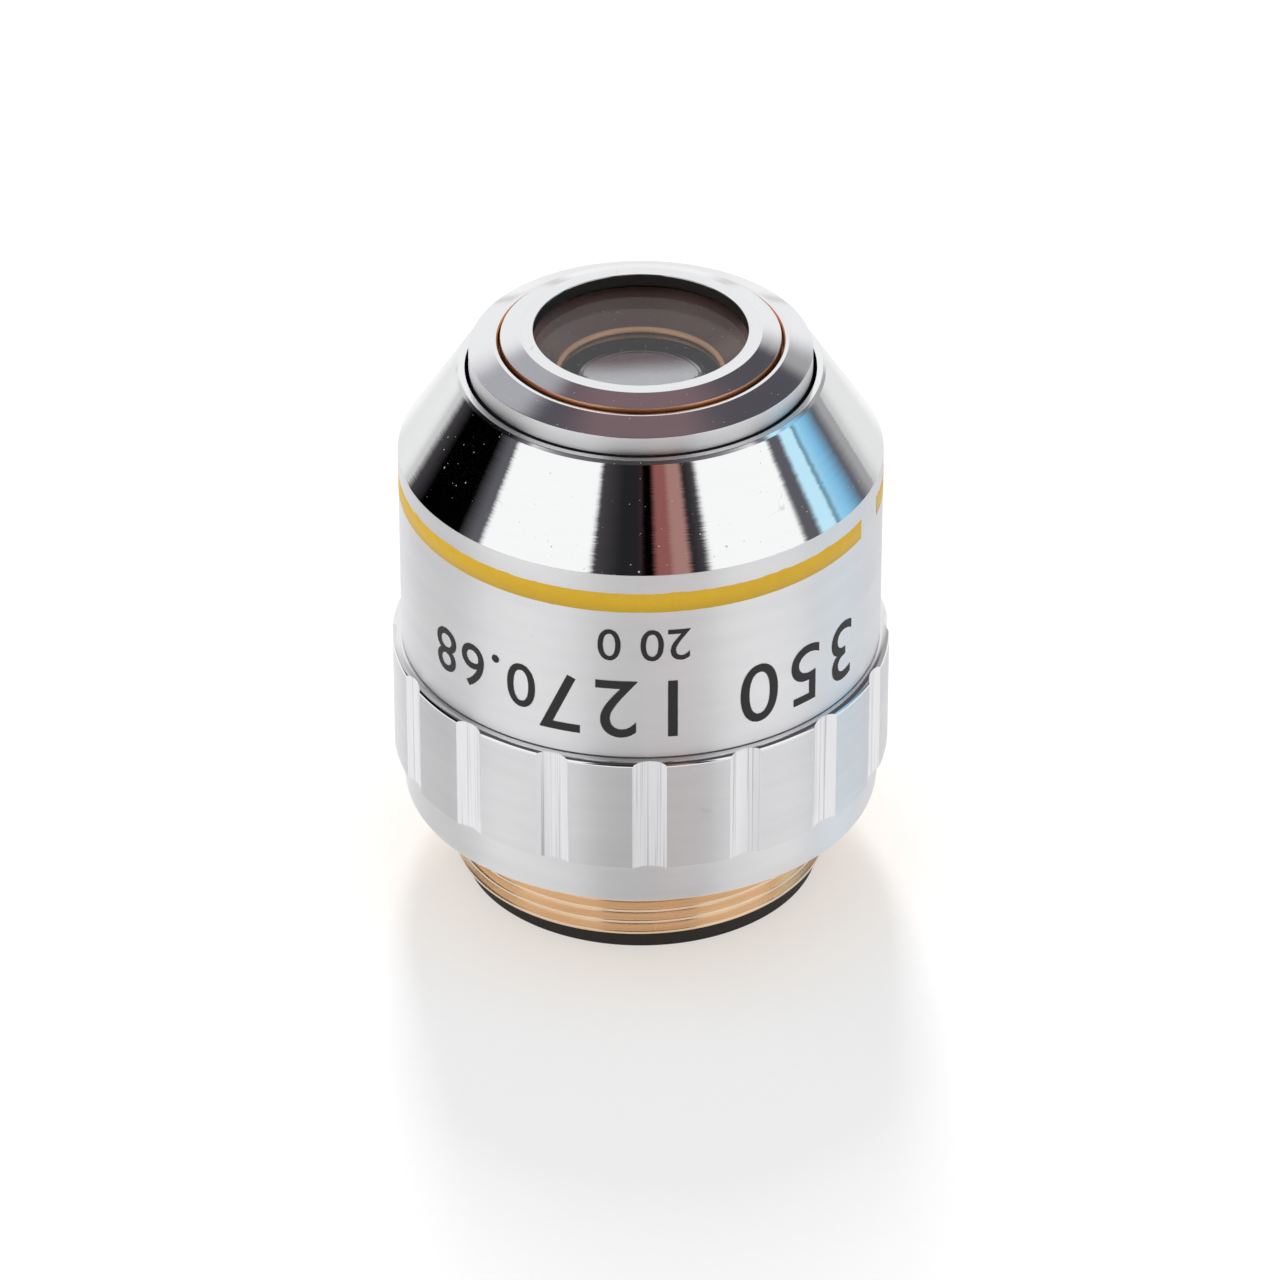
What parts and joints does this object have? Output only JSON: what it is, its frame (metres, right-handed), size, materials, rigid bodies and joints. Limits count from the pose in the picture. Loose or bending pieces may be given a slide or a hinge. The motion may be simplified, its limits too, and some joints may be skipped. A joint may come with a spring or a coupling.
{
  "type": "microscope objective",
  "caption": "Infinity-corrected low-power microscope objective standing nose up: fluted collar, threaded base, conical sleeve and a sprung lens barrel.",
  "frame": {"origin": "centre of the base, where the black rear ring stands on the bench", "axes": "+Z along the optical axis, towards the nose; -Y is the side that the picture shows"},
  "size_m": [0.0266, 0.0266, 0.0326],
  "materials": {
    "satin_plate": "satin chrome plate on turned brass",
    "polished_plate": "bright chrome plate on turned brass, mirror-polished cone and satin cylinder",
    "brass": "bare turned brass",
    "black_anodised": "matt black anodised",
    "spring_steel": "drawn spring steel",
    "coated_glass": "polished and coated optical glass",
    "yellow_paint": "yellow enamel line round the sleeve",
    "black_paint": "black paint in the engraved figures"
  },
  "bodies": {
    "housing": {"mount_collar": "satin_plate", "outer_sleeve": "polished_plate", "rear_retaining_ring": "black_anodised", "spring_seat_ring": "brass", "return_spring": "spring_steel", "guide_screw": "spring_steel", "parfocal_shim": "brass", "stop_ring": "black_anodised"},
    "nose": {"inner_barrel": "satin_plate", "front_cell": "satin_plate", "front_lens": "coated_glass", "front_meniscus": "coated_glass", "middle_crown": "coated_glass", "middle_flint": "coated_glass", "rear_crown": "coated_glass", "rear_flint": "coated_glass", "front_baffle": "brass", "middle_cell": "brass", "rear_cell": "brass", "front_lock_ring": "black_anodised", "middle_lock_ring": "black_anodised", "rear_lock_ring": "black_anodised", "short_spacer": "black_anodised", "long_spacer": "black_anodised", "aperture_stop": "black_anodised"}
  },
  "joints": [
    {"name": "nose_retract", "type": "slide", "parent": "housing", "child": "nose", "axis": [0, 0, -1], "range_m": [0, 0.0015], "stiffness_N_per_m": 500, "springref_m": -0.004, "deforming": ["return_spring"]}
  ]
}
